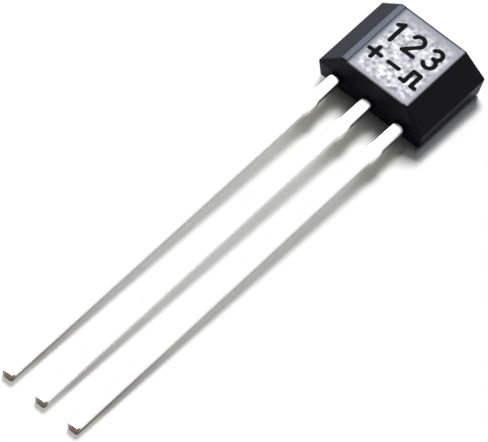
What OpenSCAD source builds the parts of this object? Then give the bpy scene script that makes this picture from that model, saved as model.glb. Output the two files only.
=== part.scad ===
// Hall effect switch with three leads, in a flat single in-line moulded package.
// It lies on its back: the origin is the middle of the back face, +Z points out of the marked
// sensing face, and the leads run along -Y with the first one at -X.

/* [Moulded body] */
// Width across the row of leads, at the parting line
body_w = 4.09; // [3.9:0.01:4.6]
// Length along the leads, at the parting line
body_l = 3.02; // [2.8:0.01:3.4]
// Thickness from the back face to the rails beside the marking panel
body_t = 1.52; // [1.45:0.01:1.8]
// Slope of the two long chamfers, from the plane of the rails
chamfer_deg = 45; // [42:1:60]
// Radius of the body's moulded edges
edge_r = 0.07; // [0.03:0.01:0.1]
// Width of the rail between each chamfer and the recessed marking panel
rail_w = 0.16; // [0.1:0.01:0.3]
// Depth of the marking panel below the rails
panel_depth = 0.03; // [0.01:0.01:0.05]
// Draft of the two ends above the parting line
front_draft_deg = 7; // [3:1:12]
// Draft of all four sides below the parting line
back_draft_deg = 6; // [3:1:12]
// Diameter of the ejector pin mark in the back face
ejector_d = 0.8; // [0.4:0.05:1]
// Depth of the ejector pin mark
ejector_depth = 0.05; // [0.02:0.01:0.1]
// Distance from the far end of the body to the middle of the ejector pin mark
ejector_from_end = 0.75; // [0.65:0.05:0.9]

/* [Leads] */
// Distance between neighbouring leads
lead_pitch = 1.27; // [1.2:0.01:1.35]
// Width of a lead, across the row
lead_w = 0.4; // [0.3:0.01:0.5]
// Thickness of the lead frame
lead_t = 0.28; // [0.2:0.01:0.45]
// Length of the leads outside the body
lead_l = 14.5; // [5:0.1:20]
// Distance from the body to the cut stubs of the dam bar
stub_from_body = 1.05; // [0.5:0.05:1.5]
// Length of a dam bar stub along its lead
stub_l = 0.7; // [0.5:0.05:1]
// Length of the slope at each end of a dam bar stub
stub_slope_l = 0.2; // [0.05:0.05:0.25]
// How far a dam bar stub stands out of the side of its lead
stub_out = 0.06; // [0.02:0.01:0.15]

/* [Lead frame inside the body] */
// Width of the slots stamped between the pieces of the lead frame
slot_w = 0.2; // [0.15:0.01:0.25]
// Cover of moulding compound outside the bond posts
side_cover = 0.35; // [0.25:0.01:0.45]
// Distance from the lead end of the body to the bond posts
post_from_end = 0.35; // [0.25:0.01:0.5]
// Length of a bond post along its lead
post_l = 0.6; // [0.4:0.01:0.8]
// Bare ledge of the paddle between its lead and the die, where the ground wire lands
ledge_l = 0.35; // [0.25:0.01:0.45]
// Rim of the paddle past the far edge of the die
rim_l = 0.2; // [0.1:0.01:0.3]
// Depth of the mould lock notch in each side of the paddle
lock_d = 0.12; // [0.05:0.01:0.2]
// Length of the mould lock notch
lock_l = 0.3; // [0.1:0.01:0.5]

/* [Die] */
// Width of the die, across the row of leads
die_w = 1.1; // [0.8:0.01:1.3]
// Length of the die, along the leads
die_l = 1; // [0.8:0.01:1.2]
// Thickness of the die
die_t = 0.25; // [0.2:0.01:0.3]
// Thickness of the adhesive under the die
attach_t = 0.02; // [0.01:0.005:0.04]
// How far the adhesive spreads past the edges of the die
attach_out = 0.05; // [0.02:0.01:0.1]
// Depth of the sensing surface below the rails
sense_depth = 0.5; // [0.45:0.01:0.6]
// Distance from the far end of the body to the sensing centre
sense_from_end = 1.44; // [1.3:0.01:1.6]

/* [Bond wires] */
// Diameter of a bond wire
wire_d = 0.03; // [0.02:0.005:0.05]
// Rise of a bond wire's arch
loop_rise = 0.25; // [0.15:0.01:0.35]
// Diameter of the ball bond on the die
ball_d = 0.08; // [0.06:0.01:0.12]
// Height of the ball bond
ball_h = 0.03; // [0.02:0.005:0.04]
// Distance from the edges of the die to the middle of a bond pad
pad_inset = 0.13; // [0.08:0.01:0.2]

/* [Hidden] */
$fn = 48;
// Sides of a ball that rounds the body's edges, whose flats then lie on its faces
round_fn = 24;
// Sides of a bond wire and steps along its arch
wire_sides = 8;
wire_steps = 14;

far_end = body_l / 2;
near_end = -far_end;
tip_y = near_end - lead_l;

// The lead frame's upper surface lies in the parting plane, under the die and its adhesive
die_top = body_t - sense_depth;
attach_top = die_top - die_t;
parting_z = attach_top - attach_t;
lead_bottom = parting_z - lead_t;

// How far each side leans in from the parting line to the back face and to the rails
back_in = parting_z * tan(back_draft_deg);
chamfer_in = (body_t - parting_z) / tan(chamfer_deg);
end_in = (body_t - parting_z) * tan(front_draft_deg);
panel_half_w = body_w / 2 - chamfer_in - rail_w;

die_y = far_end - sense_from_end;
die_near = die_y - die_l / 2;
die_far = die_y + die_l / 2;

paddle_half_w = lead_pitch - lead_w / 2 - slot_w;
paddle_near = die_near - ledge_l;
paddle_far = die_far + rim_l;

post_near = near_end + post_from_end;
post_far = post_near + post_l;

supply_pad = [pad_inset - die_w / 2, die_near + pad_inset, die_top];
ground_pad = [0, die_near + pad_inset, die_top];
output_pad = [die_w / 2 - pad_inset, die_near + pad_inset, die_top];

// Outward normal of an edge that runs up the right side of a section
function outward(edge) = [edge.y, -edge.x] / norm(edge);

// Centres of a section's edge rounds: its corners, moved in from both of their edges
function round_centres(section) = [
  for (i = [1:len(section) - 2])
    let (
      below = outward(section[i] - section[i - 1]),
      above = outward(section[i + 1] - section[i])
    )
    section[i] - edge_r * (below + above) / (1 + below * above)
];

// Right half of a section of the body, from the middle of the back face up
function half_section(half, front_in) = [
  [0, 0],
  [half - back_in, 0],
  [half, parting_z],
  [half - front_in, body_t],
  [0, body_t],
];

// Outside of the body, with its section across the leads and its section along them
module body_block() {
  x = round_centres(half_section(body_w / 2, chamfer_in));
  y = round_centres(half_section(body_l / 2, end_in));
  hull()
    for (level = [0:len(x) - 1], side = [-1, 1], end = [-1, 1])
      translate([side * x[level].x, end * y[level].x, x[level].y])
        sphere(edge_r / cos(180 / round_fn), $fn = round_fn);
}

// Recess between the rails, open at both ends of the body
module marking_panel() {
  translate([-panel_half_w, near_end, body_t - panel_depth])
    cube([2 * panel_half_w, body_l, 2 * panel_depth]);
}

// Moulding compound, cast round the lead frame, the die and the wires
module moulded_body() {
  color("#232427")
    difference() {
      body_block();
      marking_panel();
      translate([0, far_end - ejector_from_end, -ejector_depth])
        cylinder(d = ejector_d, h = 2 * ejector_depth);
      lead_supply();
      lead_ground();
      lead_output();
      die_attach();
      hall_die();
      bond_wire_supply();
      bond_wire_ground();
      bond_wire_output();
    }
}

// Rectangle between two corners
module plate(low, high) {
  translate(low)
    square(high - low);
}

// Outline of a straight lead from its cut tip to inner_y, with the stubs of the dam bar
module lead_outline(x, inner_y) {
  half_w = lead_w / 2;
  stub_half_w = half_w + stub_out;
  stub_far = near_end - stub_from_body;
  stub_near = stub_far - stub_l;
  translate([x, 0]) {
    plate([-half_w, tip_y], [half_w, inner_y]);
    polygon([
      [half_w, stub_far],
      [-half_w, stub_far],
      [-stub_half_w, stub_far - stub_slope_l],
      [-stub_half_w, stub_near + stub_slope_l],
      [-half_w, stub_near],
      [half_w, stub_near],
      [stub_half_w, stub_near + stub_slope_l],
      [stub_half_w, stub_far - stub_slope_l],
    ]);
  }
}

// Outer lead, with a bond post that reaches outwards; side is -1 or 1
module outer_lead(side) {
  post_inner = lead_pitch - lead_w / 2;
  post_outer = body_w / 2 - side_cover;
  color("#d9d9d6")
    translate([0, 0, lead_bottom])
      linear_extrude(lead_t)
        mirror([side < 0 ? 1 : 0, 0]) {
          lead_outline(lead_pitch, post_far);
          plate([post_inner, post_near], [post_outer, post_far]);
        }
}

module lead_supply() {
  outer_lead(-1);
}

// Middle lead, one piece with the paddle under the die
module lead_ground() {
  color("#d9d9d6")
    translate([0, 0, lead_bottom])
      linear_extrude(lead_t)
        difference() {
          union() {
            lead_outline(0, paddle_near);
            plate([-paddle_half_w, paddle_near], [paddle_half_w, paddle_far]);
          }
          for (side = [-1, 1])
            translate([side * paddle_half_w, die_y])
              square([2 * lock_d, lock_l], center = true);
        }
}

module lead_output() {
  outer_lead(1);
}

// Silicon die with the sensing element in the middle of its upper surface
module hall_die() {
  color("#6d7480")
    translate([-die_w / 2, die_near, attach_top])
      cube([die_w, die_l, die_t]);
}

module die_attach() {
  spread = 2 * attach_out;
  color("#b8b6ae")
    translate([-die_w / 2 - attach_out, die_near - attach_out, parting_z])
      cube([die_w + spread, die_l + spread, attach_t]);
}

// Point of a wire's arch at angle a, which runs from 0 above the die to 180 on the lead frame
function arch(start, end, a) =
  start + (end - start) * (1 - cos(a)) / 2 + [0, 0, loop_rise * sin(a)];

// Direction of the arch at that angle
function arch_way(start, end, a) =
  (end - start) * sin(a) / 2 + [0, 0, loop_rise * cos(a)];

// Points of a round section with its middle at centre, square to way
function ring(centre, way, across, r) =
  let (up = cross(way / norm(way), across))
  [for (k = [0:wire_sides - 1])
    let (a = 360 * k / wire_sides)
    centre + r * (cos(a) * across + sin(a) * up)];

// Bond wire from its ball on a pad of the die, over an arch, down to the lead frame
module bond_wire(pad, land) {
  start = pad + [0, 0, ball_h];
  run = [land.x - pad.x, land.y - pad.y];
  across = [-run.y, run.x, 0] / norm(run);
  rings = concat(
    [ring(pad, [0, 0, 1], across, ball_d / 2), ring(start, [0, 0, 1], across, ball_d / 2)],
    [for (i = [0:wire_steps])
      let (a = 180 * i / wire_steps)
      ring(arch(start, land, a), arch_way(start, land, a), across, wire_d / 2)]
  );
  last = len(rings) - 1;
  skin = [
    for (i = [0:last - 1], k = [0:wire_sides - 1])
      let (
        next = (k + 1) % wire_sides,
        a = i * wire_sides + k,
        b = i * wire_sides + next,
        c = b + wire_sides,
        d = a + wire_sides
      )
      each [[a, c, b], [a, d, c]]
  ];
  foot = [for (k = [0:wire_sides - 1]) k];
  top = [for (k = [wire_sides - 1:-1:0]) last * wire_sides + k];
  color("#d8a94a")
    polyhedron([for (r = rings) each r], concat(skin, [foot, top]));
}

// Landing point of an outer wire, in the middle of its post
function post_land(side) = [side * lead_pitch, (post_near + post_far) / 2, parting_z];

module bond_wire_supply() {
  bond_wire(supply_pad, post_land(-1));
}

module bond_wire_ground() {
  bond_wire(ground_pad, [0, (paddle_near + die_near - attach_out) / 2, parting_z]);
}

module bond_wire_output() {
  bond_wire(output_pad, post_land(1));
}

moulded_body();
lead_supply();
lead_ground();
lead_output();
hall_die();
die_attach();
bond_wire_supply();
bond_wire_ground();
bond_wire_output();
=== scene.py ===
"""Hall effect sensor lying on a white studio floor: finishes, face marks, light and camera."""
import math

import bpy
from mathutils import Matrix, Vector


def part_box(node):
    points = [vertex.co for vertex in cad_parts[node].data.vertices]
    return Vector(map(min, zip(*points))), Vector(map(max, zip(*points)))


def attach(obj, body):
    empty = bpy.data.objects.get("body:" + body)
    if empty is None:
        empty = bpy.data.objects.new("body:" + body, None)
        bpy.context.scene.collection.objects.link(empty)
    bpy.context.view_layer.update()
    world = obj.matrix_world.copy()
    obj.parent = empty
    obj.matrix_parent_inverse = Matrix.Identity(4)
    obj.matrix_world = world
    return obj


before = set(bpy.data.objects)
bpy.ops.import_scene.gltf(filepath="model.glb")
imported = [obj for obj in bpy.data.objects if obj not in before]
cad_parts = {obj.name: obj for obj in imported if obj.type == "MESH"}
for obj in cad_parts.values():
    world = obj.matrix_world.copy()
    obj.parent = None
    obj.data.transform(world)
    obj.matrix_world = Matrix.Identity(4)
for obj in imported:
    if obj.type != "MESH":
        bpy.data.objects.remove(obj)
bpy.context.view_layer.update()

MM = 0.001

# Sizes of the package, from the frame
BODY_LOW, BODY_HIGH = (Vector(corner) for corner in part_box("moulded_body"))
LEAD_LOW, LEAD_HIGH = (Vector(corner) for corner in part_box("lead_ground"))
TIP_Y = LEAD_LOW.y
LEADS = ("lead_supply", "lead_ground", "lead_output")
WIRES = ("bond_wire_supply", "bond_wire_ground", "bond_wire_output")

# Marking panel, recessed between the rails of the face, whose finish starts just below it
PANEL_DEPTH = 0.03 * MM
PANEL_Z = BODY_HIGH.z - PANEL_DEPTH
FACE_START = PANEL_Z - 0.01 * MM
FACE_FULL = PANEL_Z - 0.005 * MM

# Edges of the painted glare on the face, a silver tone that stands in for the softbox's reflection,
# and the width over which it gives way to what lies under it
GLARE_LEFT = -1.04 * MM
GLARE_RIGHT = 1.25 * MM
GLARE_NEAR = -1.35 * MM
GLARE_FAR = 1.35 * MM
GLARE_FADE = 0.1 * MM

# Toward each edge the painted glare fades: axis, edge, where it is full, and the share left at the edge
GLARE_FADING = (
    ("X", GLARE_LEFT, GLARE_LEFT + 0.25 * MM, 0.15),
    ("X", GLARE_RIGHT, GLARE_RIGHT - 0.3 * MM, 0.2),
    ("Y", GLARE_NEAR, GLARE_NEAR + 0.25 * MM, 0.25),
    ("Y", GLARE_FAR, GLARE_FAR - 0.6 * MM, 0.15),
)

# Left of here the epoxy has painted blue light, a faint bluish tone for the cool light on its flank
BLUE_LIGHT_EDGE = -1.3 * MM

# Leads: their pitch and width, as in the part
LEAD_PITCH = 1.27 * MM
LEAD_WIDTH = 0.4 * MM

# Rounded stamped edges of the leads: radius, steps round it, and the gap that is closed beforehand
LEAD_ROUND = 0.08 * MM
ROUND_STEPS = 4
WELD_GAP = 0.0005 * MM

# Painted light on the leads: their tops are brighter than their sides, which stand in painted shade,
# and take over from them between these heights
LIT_TOP_START = LEAD_HIGH.z - 0.1 * MM
LIT_TOP_FULL = LEAD_HIGH.z - 0.05 * MM

# Worn sides of the leads: how far the wear reaches from the tips, and the first lead's share of the
# third lead's wear; and the share of painted light that brightens the middle lead's sides
WORN_LENGTH = 5 * MM
WORN_FIRST = 0.7
MIDDLE_PAINTED_LIGHT = 0.6

# Sides darkened near the body, fading between these places: painted shade where they lie in the
# body's shadow and mirror its dark
ROOT_SHADE_END = BODY_LOW.y - 1.8 * MM
ROOT_SHADE_START = BODY_LOW.y - 1 * MM

# Dark band on the leads where they leave the body, painted shade and a painted reflection of the
# black body, fading between these places, and reaching this much further along their edges than
# along their middles
ROOT_DARK_END = BODY_LOW.y - 0.12 * MM
ROOT_DARK_START = BODY_LOW.y - 0.06 * MM
ROOT_DARK_CREEP = 0.09 * MM

# Cut ends: bare alloy this deep, and deeper toward the right, where the shear has left the lead first;
# on the left it has wiped this much tin over the end
CUT_DEPTH = 0.08 * MM
CUT_SKEW = 0.3
CUT_WIPED = 0.6

# Patterns of the finishes: layers of detail in each, and the range that holds nearly all their values
DETAIL = 3.0
NOISE_LOW = 0.3
NOISE_HIGH = 0.7

# Size across of each pattern, how far it is drawn out along the piece, and its relief
MOTTLE_SIZE = 0.16 * MM
CLOUD_SIZE = 0.3 * MM
GRAIN_SIZE = 0.06 * MM
GRAIN_DEPTH = 0.004 * MM
STREAK_SIZE = 0.08 * MM
STREAK_DRAWN = 0.06
STREAK_DEPTH = 0.002 * MM
CUT_GRAIN = 0.1 * MM
INK_CLOUD = 0.1 * MM
OXIDE_CLOUD = 0.3 * MM
FLAKE_SIZE = 0.03 * MM
FLAKE_DEPTH = 0.003 * MM
LINE_SIZE = 0.02 * MM
LINE_DRAWN = 0.2

# Roughness where it varies: epoxy, the face under the painted glare, and the tin on and off its streaks
EPOXY_ROUGH = 0.45
FACE_ROUGH = 0.42
TIN_SMOOTH = 0.36
TIN_ROUGH = 0.46

# Face marks: lead numbers over the signs for supply, ground and output pulse
MARK_PITCH = 0.72 * MM
MARK_ROWS = (0.5 * MM, -0.5 * MM)
MARK_STROKE = 0.15 * MM
MARK_THICKNESS = 0.006 * MM
MARK_SIDES = 12

# Camera, measured on the photograph's 488 by 442 frame
CAMERA_PLACE = Vector((39.01, -61.50, 103.44)) * MM
CAMERA_AZIMUTH = math.radians(35.67)
CAMERA_ELEVATION = math.radians(57.03)
CAMERA_ROLL = math.radians(6.99)
CAMERA_LENS = 307.48
CAMERA_SENSOR = 36.0
CAMERA_NEAR = 1 * MM

# Floor: it touches the body where the near edge of the back starts to round, and reaches this far
FLOOR_EDGE_Y = BODY_LOW.y + 0.13 * MM
FLOOR_REACH = 0.6

# Light: a softbox beyond the far left of the body, whose reflection lies in the marked face
SOFTBOX_AZIMUTH = CAMERA_AZIMUTH + math.pi
SOFTBOX_ELEVATION = math.radians(56)
SOFTBOX_DISTANCE = 0.6
SOFTBOX_SIZE = 0.22
SOFTBOX_POWER = 4.7
AMBIENT = 0.03

# Painted light: the floor glows for the camera and mirrors alone, which thins the shadows at the
# tips, along the leads, and before and beside the body: strength of each glow, and its bounds by axis,
# where it starts and where it is full
TIP_GLOW = (0.45, (("Y", TIP_Y + 3 * MM, TIP_Y - 0.1 * MM),))
LEAD_GLOW = (0.38, (("Y", -2.1 * MM, -4.7 * MM), ("Y", -27 * MM, -9 * MM), ("X", 4.5 * MM, 0.6 * MM)))
FRONT_GLOW = (0.16, (("Y", -1.45 * MM, -2.6 * MM), ("X", 1.75 * MM, 1.58 * MM)))
CORNER_GLOW = (
    0.08,
    (("Y", -1.48 * MM, -1.72 * MM), ("Y", -2.25 * MM, -1.95 * MM), ("X", 1.5 * MM, 1.95 * MM)),
)
RIGHT_GLOW = (0.12, (("X", 1.9 * MM, 2.12 * MM),))
OUTER_GLOW = (0.62, (("X", 2.27 * MM, 2.46 * MM),))
LEFT_GLOW = (0.62, (("X", -1.6 * MM, -1.9 * MM),))
PAINTED_GLOWS = (TIP_GLOW, LEAD_GLOW, FRONT_GLOW, CORNER_GLOW, RIGHT_GLOW, OUTER_GLOW, LEFT_GLOW)

# The painted glow is a little warm under the leads, more so in front of the body, and a little cool
# to the right of the body, which tints the shadows there: axis, where the tint starts and where it is
# full
UNDER_LEADS = (("X", -1.7 * MM, -1.5 * MM), ("X", 2.4 * MM, 2.2 * MM))
FRONT_PLACE = (*UNDER_LEADS, ("Y", -5 * MM, -2.6 * MM))
RIGHT_PLACE = (("X", 1.5 * MM, 2 * MM), ("X", 2.4 * MM, 2.2 * MM), ("Y", -2.6 * MM, -1.6 * MM))


def linear(hex_colour):
    """Linear RGBA of an sRGB hex colour."""
    channels = [int(hex_colour[i:i + 2], 16) / 255 for i in (1, 3, 5)]
    return [c / 12.92 if c <= 0.04045 else ((c + 0.055) / 1.055) ** 2.4 for c in channels] + [1.0]


def add(tree, kind, inputs=None, **settings):
    """Adds a node with its settings, and gives each input that is named its value or its link."""
    node = tree.nodes.new(kind)
    for name, value in settings.items():
        setattr(node, name, value)
    for socket, source in (inputs or {}).items():
        if isinstance(source, bpy.types.Node):
            source = next(output for output in source.outputs if output.enabled)
        if isinstance(source, bpy.types.NodeSocket):
            tree.links.new(source, node.inputs[socket])
        else:
            node.inputs[socket].default_value = source
    return node


def new_material(name, **sockets):
    """New material, its node tree, its Principled shader with these sockets, and Object coordinates."""
    material = bpy.data.materials.new(name)
    material.use_nodes = True
    tree = material.node_tree
    tree.nodes.clear()
    inputs = {socket.replace("_", " "): value for socket, value in sockets.items()}
    shader = add(tree, "ShaderNodeBsdfPrincipled", inputs)
    add(tree, "ShaderNodeOutputMaterial", {"Surface": shader})
    place = add(tree, "ShaderNodeTexCoord").outputs["Object"]
    return material, tree, shader, place


def give(tree, shader, **sources):
    """Links nodes to the shader's sockets."""
    for socket, node in sources.items():
        output = next(output for output in node.outputs if output.enabled)
        tree.links.new(output, shader.inputs[socket.replace("_", " ")])


def seen(tree):
    """One for rays that show the backdrop to the camera, straight or by mirrors and glass alone."""
    ray = add(tree, "ShaderNodeLightPath").outputs
    turned = {0: ray["Is Glossy Ray"], 1: ray["Is Transmission Ray"]}
    turned = add(tree, "ShaderNodeMath", turned, operation="MAXIMUM")
    shown = add(tree, "ShaderNodeMath", {0: ray["Is Camera Ray"], 1: turned}, operation="MAXIMUM")
    clear = add(tree, "ShaderNodeMath", {0: ray["Diffuse Depth"], 1: 0.5}, operation="LESS_THAN")
    return add(tree, "ShaderNodeMath", {0: shown, 1: clear}, operation="MULTIPLY")


def moulded_epoxy():
    """Black moulding compound with a fine spark-eroded grain, a mottled silver painted glare of the
    softbox on its face, and painted blue light on its left flank.
    """
    material, tree, shader, place = new_material(
        "moulded_black_epoxy",
        IOR=1.16,
        Sheen_Weight=0.1,
        Sheen_Roughness=0.4,
        Sheen_Tint=linear("#b0bef8"),
    )
    axes = add(tree, "ShaderNodeSeparateXYZ", {0: place}).outputs
    # A grey painted reflection covers the face between the glare's ends, also the left rail, and the
    # painted glare lies on it
    soft = GLARE_FADE / 2
    painted_masks = [1.0]
    for axis, outside, inside in (
        ("Z", FACE_START, FACE_FULL),
        ("X", GLARE_RIGHT + soft, GLARE_RIGHT - soft),
        ("Y", GLARE_NEAR - soft, GLARE_NEAR + soft),
        ("Y", GLARE_FAR + soft, GLARE_FAR - soft),
        ("X", GLARE_LEFT - soft, GLARE_LEFT + soft),
    ):
        step = {"Value": axes[axis], "From Min": outside, "From Max": inside, "To Max": painted_masks[-1]}
        painted_masks.append(add(tree, "ShaderNodeMapRange", step, interpolation_type="SMOOTHSTEP"))
    painted_haze, painted_glare = painted_masks[-2:]
    # The painted glare is mottled, and fades toward its edges
    mottle = {"Vector": place, "Scale": 1 / MOTTLE_SIZE, "Detail": DETAIL}
    mottle = add(tree, "ShaderNodeTexNoise", mottle)
    glare_share = {"Value": mottle, "From Min": NOISE_LOW, "From Max": NOISE_HIGH}
    glare_share = add(tree, "ShaderNodeMapRange", glare_share)
    for axis, edge, full, thin in GLARE_FADING:
        fade = {"Value": axes[axis], "From Min": edge, "From Max": full, "To Min": thin, "To Max": glare_share}
        glare_share = add(tree, "ShaderNodeMapRange", fade, interpolation_type="SMOOTHSTEP")
    # Painted glare: silver tones that stand in for the softbox's reflection on the face
    silver = {"Factor": glare_share, "A": linear("#7a7e8c"), "B": linear("#f9fbff")}
    silver = add(tree, "ShaderNodeMix", silver, data_type="RGBA")
    cloud = add(tree, "ShaderNodeTexNoise", {"Vector": place, "Scale": 1 / CLOUD_SIZE, "Detail": DETAIL})
    black = {"Factor": cloud, "A": linear("#060606"), "B": linear("#0c0c0f")}
    black = add(tree, "ShaderNodeMix", black, data_type="RGBA")
    # The painted blue light lies on the left flank, and ends with the painted glare
    painted_blue_light = 1.0
    for axis, outside, inside in (
        ("X", BLUE_LIGHT_EDGE + soft, BLUE_LIGHT_EDGE - soft),
        ("Y", GLARE_NEAR - soft, GLARE_NEAR + soft),
        ("Y", GLARE_FAR + soft, GLARE_FAR - soft),
    ):
        step = {"Value": axes[axis], "From Min": outside, "From Max": inside, "To Max": painted_blue_light}
        painted_blue_light = add(tree, "ShaderNodeMapRange", step, interpolation_type="SMOOTHSTEP")
    # Painted blue light on the left flank
    black = {"Factor": painted_blue_light, "A": black, "B": linear("#12171f")}
    black = add(tree, "ShaderNodeMix", black, data_type="RGBA")
    # Painted reflection: a grey tone on the face and the left rail
    with_haze = {"Factor": painted_haze, "A": black, "B": linear("#626878")}
    with_haze = add(tree, "ShaderNodeMix", with_haze, data_type="RGBA")
    colour = add(tree, "ShaderNodeMix", {"Factor": painted_glare, "A": with_haze, "B": silver}, data_type="RGBA")
    roughness = {"Value": painted_glare, "To Min": EPOXY_ROUGH, "To Max": FACE_ROUGH}
    roughness = add(tree, "ShaderNodeMapRange", roughness)
    # Grain drawn coarser than the real 0.01 mm, which is finer than a pixel
    grain = add(tree, "ShaderNodeTexNoise", {"Vector": place, "Scale": 1 / GRAIN_SIZE, "Detail": DETAIL})
    relief = add(tree, "ShaderNodeBump", {"Height": grain, "Distance": GRAIN_DEPTH})
    give(tree, shader, Base_Color=colour, Roughness=roughness, Normal=relief)
    return material


def tin_plating():
    """Satin tin with painted light and shade: tops brighter than sides, brighter sides on the middle
    lead, painted shade near the body; brown bare alloy on the cut ends.
    """
    material, tree, shader, place = new_material("satin_tin_plated_copper_alloy", Metallic=1.0)
    axes = add(tree, "ShaderNodeSeparateXYZ", {0: place}).outputs
    along = add(tree, "ShaderNodeMapping", {"Vector": place, "Scale": (1, STREAK_DRAWN, 1)})
    streaks = {"Vector": along, "Scale": 1 / STREAK_SIZE, "Detail": DETAIL}
    streaks = add(tree, "ShaderNodeTexNoise", streaks)
    handled = {"Value": axes["X"], "From Min": -LEAD_PITCH, "From Max": LEAD_PITCH, "To Min": WORN_FIRST}
    handled = add(tree, "ShaderNodeMapRange", handled)
    worn = {"Value": axes["Y"], "From Min": TIP_Y + WORN_LENGTH, "From Max": TIP_Y, "To Max": handled}
    worn = add(tree, "ShaderNodeMapRange", worn, interpolation_type="SMOOTHSTEP")
    side = {"Factor": worn, "A": linear("#c4c3be"), "B": linear("#7a6a5c")}
    side = add(tree, "ShaderNodeMix", side, data_type="RGBA")
    # Painted light: the middle lead's sides are brighter, as the light falls on them
    middle = add(tree, "ShaderNodeMath", {0: axes["X"], 1: 0.0, 2: LEAD_PITCH / 2}, operation="COMPARE")
    painted_side_light = add(tree, "ShaderNodeMath", {0: middle, 1: MIDDLE_PAINTED_LIGHT}, operation="MULTIPLY")
    side = {"Factor": painted_side_light, "A": side, "B": linear("#f0f0ee")}
    side = add(tree, "ShaderNodeMix", side, data_type="RGBA")
    painted_root_shade = {"Value": axes["Y"], "From Min": ROOT_SHADE_END, "From Max": ROOT_SHADE_START}
    painted_root_shade = add(tree, "ShaderNodeMapRange", painted_root_shade, interpolation_type="SMOOTHSTEP")
    # Painted shade on the sides near the body
    side = {"Factor": painted_root_shade, "A": side, "B": linear("#7d7c78")}
    side = add(tree, "ShaderNodeMix", side, data_type="RGBA")
    # Painted light: the tops are brighter than the sides
    lit_top_tone = {"Factor": streaks, "A": linear("#e4e4e1"), "B": linear("#f4f4f2")}
    lit_top_tone = add(tree, "ShaderNodeMix", lit_top_tone, data_type="RGBA")
    painted_top_light = {"Value": axes["Z"], "From Min": LIT_TOP_START, "From Max": LIT_TOP_FULL}
    painted_top_light = add(tree, "ShaderNodeMapRange", painted_top_light, interpolation_type="SMOOTHSTEP")
    tin = add(tree, "ShaderNodeMix", {"Factor": painted_top_light, "A": side, "B": lit_top_tone}, data_type="RGBA")
    # Distance from the cut, which runs askew across each lead
    across = {0: axes["X"], 1: LEAD_PITCH / 2, 2: -LEAD_PITCH / 2}
    across = add(tree, "ShaderNodeMath", across, operation="WRAP")
    behind = {0: across, 1: -CUT_SKEW, 2: axes["Y"]}
    behind = add(tree, "ShaderNodeMath", behind, operation="MULTIPLY_ADD")
    start = TIP_Y + CUT_SKEW * LEAD_WIDTH / 2
    cut = {"Value": behind, "From Min": start + CUT_DEPTH, "From Max": start}
    cut = add(tree, "ShaderNodeMapRange", cut, interpolation_type="SMOOTHSTEP")
    cloud = add(tree, "ShaderNodeTexNoise", {"Vector": place, "Scale": 1 / CUT_GRAIN, "Detail": DETAIL})
    bare = {"Factor": cloud, "A": linear("#60544a"), "B": linear("#867a70")}
    bare = add(tree, "ShaderNodeMix", bare, data_type="RGBA")
    wiped = {"Value": across, "From Min": 0.0, "From Max": -LEAD_WIDTH / 2, "To Max": CUT_WIPED}
    wiped = add(tree, "ShaderNodeMapRange", wiped, interpolation_type="SMOOTHSTEP")
    bare = {"Factor": wiped, "A": bare, "B": linear("#c9c3bb")}
    bare = add(tree, "ShaderNodeMix", bare, data_type="RGBA")
    ended = add(tree, "ShaderNodeMix", {"Factor": cut, "A": tin, "B": bare}, data_type="RGBA")
    # The painted dark band reaches further along the edges, with the square of the distance from a lead's
    # middle
    square = add(tree, "ShaderNodeMath", {0: across, 1: across}, operation="MULTIPLY")
    root_reach = {0: square, 1: ROOT_DARK_CREEP / (LEAD_WIDTH / 2) ** 2, 2: axes["Y"]}
    root_reach = add(tree, "ShaderNodeMath", root_reach, operation="MULTIPLY_ADD")
    painted_root_dark = {"Value": root_reach, "From Min": ROOT_DARK_END, "From Max": ROOT_DARK_START}
    painted_root_dark = add(tree, "ShaderNodeMapRange", painted_root_dark, interpolation_type="SMOOTHSTEP")
    # Painted shade and reflection: a dark band at the roots
    colour = {"Factor": painted_root_dark, "A": ended, "B": linear("#17171a")}
    colour = add(tree, "ShaderNodeMix", colour, data_type="RGBA")
    roughness = {
        "Value": streaks,
        "From Min": NOISE_LOW,
        "From Max": NOISE_HIGH,
        "To Min": TIN_SMOOTH,
        "To Max": TIN_ROUGH,
    }
    roughness = add(tree, "ShaderNodeMapRange", roughness)
    relief = add(tree, "ShaderNodeBump", {"Height": streaks, "Distance": STREAK_DEPTH})
    give(tree, shader, Base_Color=colour, Roughness=roughness, Normal=relief)
    return material


def marking_ink():
    """Flat black ink with a slightly uneven surface."""
    material, tree, shader, place = new_material("matte_black_marking_ink", Roughness=0.6, IOR=1.1)
    cloud = add(tree, "ShaderNodeTexNoise", {"Vector": place, "Scale": 1 / INK_CLOUD, "Detail": DETAIL})
    tone = {"Factor": cloud, "A": linear("#070708"), "B": linear("#111113")}
    give(tree, shader, Base_Color=add(tree, "ShaderNodeMix", tone, data_type="RGBA"))
    return material


def polished_silicon():
    """Blue-grey silicon, mirror smooth, with a faint cloud of oxide colour."""
    material, tree, shader, place = new_material("polished_silicon", Metallic=0.4, Roughness=0.12)
    oxide = add(tree, "ShaderNodeTexNoise", {"Vector": place, "Scale": 1 / OXIDE_CLOUD, "Detail": DETAIL})
    tone = {"Factor": oxide, "A": linear("#4d5566"), "B": linear("#6a7180")}
    give(tree, shader, Base_Color=add(tree, "ShaderNodeMix", tone, data_type="RGBA"))
    return material


def silver_adhesive():
    """Grey paste of silver flakes in resin, with a visible flake grain."""
    material, tree, shader, place = new_material("silver_filled_adhesive", Metallic=0.3, Roughness=0.5)
    flakes = add(tree, "ShaderNodeTexNoise", {"Vector": place, "Scale": 1 / FLAKE_SIZE, "Detail": DETAIL})
    tone = {"Factor": flakes, "A": linear("#8d8b82"), "B": linear("#bdbbb2")}
    tone = add(tree, "ShaderNodeMix", tone, data_type="RGBA")
    relief = add(tree, "ShaderNodeBump", {"Height": flakes, "Distance": FLAKE_DEPTH})
    give(tree, shader, Base_Color=tone, Normal=relief)
    return material


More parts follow.
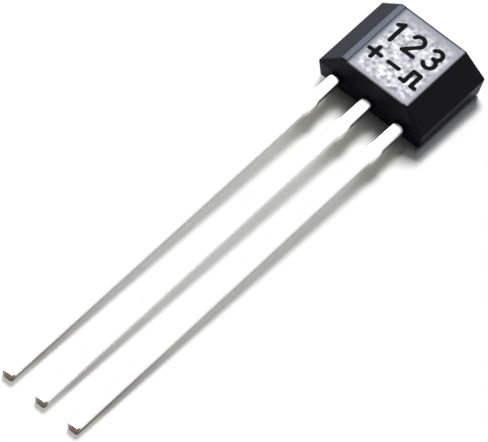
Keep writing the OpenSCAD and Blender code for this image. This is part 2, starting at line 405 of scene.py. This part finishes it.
def drawn_gold():
    """Bright gold wire with faint drawing lines."""
    material, tree, shader, place = new_material("drawn_gold_wire", Metallic=1.0, Roughness=0.2)
    along = add(tree, "ShaderNodeMapping", {"Vector": place, "Scale": (1, LINE_DRAWN, 1)})
    lines = add(tree, "ShaderNodeTexNoise", {"Vector": along, "Scale": 1 / LINE_SIZE, "Detail": DETAIL})
    tone = {"Factor": lines, "A": linear("#c8963a"), "B": linear("#e0b459")}
    give(tree, shader, Base_Color=add(tree, "ShaderNodeMix", tone, data_type="RGBA"))
    return material


def white_paper():
    """Matte white paper with a painted glow, seen and mirrored but lighting nothing, that thins and tints
    its shadows.
    """
    material, tree, shader, place = new_material(
        "matte_white_paper",
        Base_Color=linear("#fbfbfb"),
        Roughness=0.9,
    )
    axes = add(tree, "ShaderNodeSeparateXYZ", {0: place}).outputs
    glow = 0.0
    for part, bounds in PAINTED_GLOWS:
        for axis, none, full in bounds:
            reach = {"Value": axes[axis], "From Min": none, "From Max": full, "To Max": part}
            part = add(tree, "ShaderNodeMapRange", reach, interpolation_type="SMOOTHSTEP")
        glow = add(tree, "ShaderNodeMath", {0: glow, 1: part}, operation="MAXIMUM")
    shown = add(tree, "ShaderNodeMath", {0: seen(tree), 1: glow}, operation="MULTIPLY")
    tone = linear("#ffffff")
    tints = (("#fffffb", UNDER_LEADS), ("#fffff0", FRONT_PLACE), ("#f2faff", RIGHT_PLACE))
    for tint, bounds in tints:
        share = 1.0
        for axis, none, full in bounds:
            reach = {"Value": axes[axis], "From Min": none, "From Max": full, "To Max": share}
            share = add(tree, "ShaderNodeMapRange", reach, interpolation_type="SMOOTHSTEP")
        tone = {"Factor": share, "A": tone, "B": linear(tint)}
        tone = add(tree, "ShaderNodeMix", tone, data_type="RGBA")
    # Painted light: a glow seen only by the camera and mirrors
    painted_glow = add(tree, "ShaderNodeEmission", {"Color": tone, "Strength": 1.0})
    both = add(tree, "ShaderNodeMixShader", {0: shown, 1: shader, 2: painted_glow})
    give(tree, tree.nodes["Material Output"], Surface=both)
    return material


def dress(material, *nodes):
    """Gives CAD nodes their finish."""
    for node in nodes:
        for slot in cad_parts[node].material_slots:
            slot.material = material


def round_edges(node, radius):
    """Rounds the sharp edges of a CAD node in the picture, with its own mesh left as it is."""
    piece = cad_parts[node]
    weld = piece.modifiers.new("weld", "WELD")
    weld.merge_threshold = WELD_GAP
    rounding = piece.modifiers.new("round_edges", "BEVEL")
    rounding.width = radius
    rounding.segments = ROUND_STEPS
    rounding.limit_method = "ANGLE"
    rounding.harden_normals = True


def arc(x, y, r, start, end, steps=10):
    """Points of an arc, in mm, between two angles in degrees."""
    angles = [math.radians(start + (end - start) * i / steps) for i in range(steps + 1)]
    return [(x + r * math.cos(a), y + r * math.sin(a)) for a in angles]


# Strokes of each mark about its middle, in mm
ONE = [[(-0.14, 0.24), (0.03, 0.37), (0.03, -0.37)]]
TWO = [arc(0, 0.17, 0.2, 165, -35) + [(-0.2, -0.37), (0.22, -0.37)]]
THREE = [arc(0, 0.18, 0.18, 150, -90) + arc(0, -0.19, 0.2, 90, -150)]
PLUS = [[(-0.23, 0), (0.23, 0)], [(0, -0.23), (0, 0.23)]]
MINUS = [[(-0.2, 0), (0.2, 0)]]
PULSE = [[(-0.27, -0.23), (-0.12, -0.23), (-0.12, 0.25), (0.14, 0.25), (0.14, -0.23), (0.29, -0.23)]]


def ink_strokes():
    """Geometry Nodes tree that lays flat beads of ink with round ends along the curves, on the panel."""
    tree = bpy.data.node_groups.new("ink_strokes", "GeometryNodeTree")
    face = tree.interface
    face.new_socket("Geometry", in_out="INPUT", socket_type="NodeSocketGeometry")
    for name in ("Stroke Width", "Ink Thickness", "Panel Height"):
        face.new_socket(name, in_out="INPUT", socket_type="NodeSocketFloat")
    face.new_socket("Material", in_out="INPUT", socket_type="NodeSocketMaterial")
    face.new_socket("Geometry", in_out="OUTPUT", socket_type="NodeSocketGeometry")
    given = add(tree, "NodeGroupInput").outputs
    radius = add(tree, "ShaderNodeMath", {0: given["Stroke Width"], 1: 0.5}, operation="MULTIPLY")
    profile = add(tree, "GeometryNodeCurvePrimitiveCircle", {"Resolution": MARK_SIDES, "Radius": radius})
    bead = add(tree, "GeometryNodeCurveToMesh", {"Curve": given["Geometry"], "Profile Curve": profile})
    ends = add(tree, "GeometryNodeCurveToPoints", {"Curve": given["Geometry"]}, mode="EVALUATED")
    ball = {"Segments": MARK_SIDES, "Rings": MARK_SIDES // 2, "Radius": radius}
    ball = add(tree, "GeometryNodeMeshUVSphere", ball)
    round_ends = add(tree, "GeometryNodeInstanceOnPoints", {"Points": ends, "Instance": ball})
    strokes = add(tree, "GeometryNodeJoinGeometry", {"Geometry": bead})
    tree.links.new(round_ends.outputs[0], strokes.inputs[0])
    share = {0: given["Ink Thickness"], 1: given["Stroke Width"]}
    flat = add(tree, "ShaderNodeMath", share, operation="DIVIDE")
    scale = add(tree, "ShaderNodeCombineXYZ", {"X": 1.0, "Y": 1.0, "Z": flat})
    panel = add(tree, "ShaderNodeCombineXYZ", {"Z": given["Panel Height"]})
    laid = {"Geometry": strokes, "Scale": scale, "Translation": panel}
    laid = add(tree, "GeometryNodeTransform", laid)
    solid = add(tree, "GeometryNodeRealizeInstances", {"Geometry": laid})
    inked = add(tree, "GeometryNodeSetMaterial", {"Geometry": solid, "Material": given["Material"]})
    add(tree, "NodeGroupOutput", {"Geometry": inked})
    return tree


def face_marks(material):
    """Lead numbers and signs, as thin beads of ink in the panel's recess."""
    curve = bpy.data.curves.new("face_marks", "CURVE")
    curve.dimensions = "3D"
    for row, marks in zip(MARK_ROWS, ((ONE, TWO, THREE), (PLUS, MINUS, PULSE))):
        for column, strokes in enumerate(marks):
            for start, end in (pair for stroke in strokes for pair in zip(stroke, stroke[1:])):
                spline = curve.splines.new("POLY")
                spline.points.add(1)
                for point, (x, y) in zip(spline.points, (start, end)):
                    point.co = ((column - 1) * MARK_PITCH + x * MM, row + y * MM, 0, 1)
    path = bpy.data.objects.new("mark_paths", curve)
    bpy.context.scene.collection.objects.link(path)
    tree = ink_strokes()
    values = {
        "Stroke Width": MARK_STROKE,
        "Ink Thickness": MARK_THICKNESS,
        "Panel Height": PANEL_Z,
        "Material": material,
    }
    modifier = path.modifiers.new("ink_strokes", "NODES")
    modifier.node_group = tree
    for item in tree.interface.items_tree:
        if item.in_out == "INPUT" and item.name in values:
            modifier[item.identifier] = values[item.name]
    shown = path.evaluated_get(bpy.context.evaluated_depsgraph_get())
    marks = bpy.data.objects.new("face_marks", bpy.data.meshes.new_from_object(shown))
    bpy.data.objects.remove(path)
    bpy.context.scene.collection.objects.link(marks)
    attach(marks, "root")


def studio_floor():
    """White floor that touches the near edge of the back face and the tips of the leads."""
    slope = LEAD_LOW.z / (FLOOR_EDGE_Y - TIP_Y)
    corners = [(x * FLOOR_REACH, y * FLOOR_REACH) for x, y in ((-1, -1), (1, -1), (1, 1), (-1, 1))]
    mesh = bpy.data.meshes.new("studio_floor")
    mesh.from_pydata([(x, y, (FLOOR_EDGE_Y - y) * slope) for x, y in corners], [], [(0, 1, 2, 3)])
    floor = bpy.data.objects.new("studio_floor", mesh)
    bpy.context.scene.collection.objects.link(floor)
    mesh.materials.append(white_paper())


def toward(azimuth, elevation):
    """Unit vector to a place seen at this azimuth from -Y and this elevation."""
    level = math.cos(elevation)
    return Vector((math.sin(azimuth) * level, -math.cos(azimuth) * level, math.sin(elevation)))


def studio_light():
    """One large softbox, and a dim even room."""
    lamp = bpy.data.lights.new("softbox", "AREA")
    lamp.shape = "SQUARE"
    lamp.size = SOFTBOX_SIZE
    lamp.energy = SOFTBOX_POWER
    softbox = bpy.data.objects.new("softbox", lamp)
    way = toward(SOFTBOX_AZIMUTH, SOFTBOX_ELEVATION)
    softbox.location = way * SOFTBOX_DISTANCE
    softbox.rotation_euler = way.to_track_quat("Z", "Y").to_euler()
    bpy.context.scene.collection.objects.link(softbox)
    world = bpy.data.worlds.new("studio")
    world.use_nodes = True
    tree = world.node_tree
    tree.nodes.clear()
    level = add(tree, "ShaderNodeMapRange", {"Value": seen(tree), "To Min": AMBIENT})
    room = add(tree, "ShaderNodeBackground", {"Color": (1, 1, 1, 1), "Strength": level})
    add(tree, "ShaderNodeOutputWorld", {"Surface": room})
    bpy.context.scene.world = world


def photograph_camera():
    """Camera at the photograph's place, turn and lens."""
    data = bpy.data.cameras.new("camera")
    data.sensor_fit = "HORIZONTAL"
    data.sensor_width = CAMERA_SENSOR
    data.lens = CAMERA_LENS
    data.clip_start = CAMERA_NEAR
    camera = bpy.data.objects.new("camera", data)
    turn = (
        Matrix.Rotation(CAMERA_AZIMUTH, 4, "Z")
        @ Matrix.Rotation(math.pi / 2 - CAMERA_ELEVATION, 4, "X")
        @ Matrix.Rotation(CAMERA_ROLL, 4, "Z")
    )
    camera.matrix_world = Matrix.Translation(CAMERA_PLACE) @ turn
    bpy.context.scene.collection.objects.link(camera)
    bpy.context.scene.camera = camera


dress(moulded_epoxy(), "moulded_body")
dress(tin_plating(), *LEADS)
dress(polished_silicon(), "hall_die")
dress(silver_adhesive(), "die_attach")
dress(drawn_gold(), *WIRES)
for lead in LEADS:
    round_edges(lead, LEAD_ROUND)
face_marks(marking_ink())
studio_floor()
studio_light()
photograph_camera()
bpy.context.scene.view_settings.view_transform = "Standard"
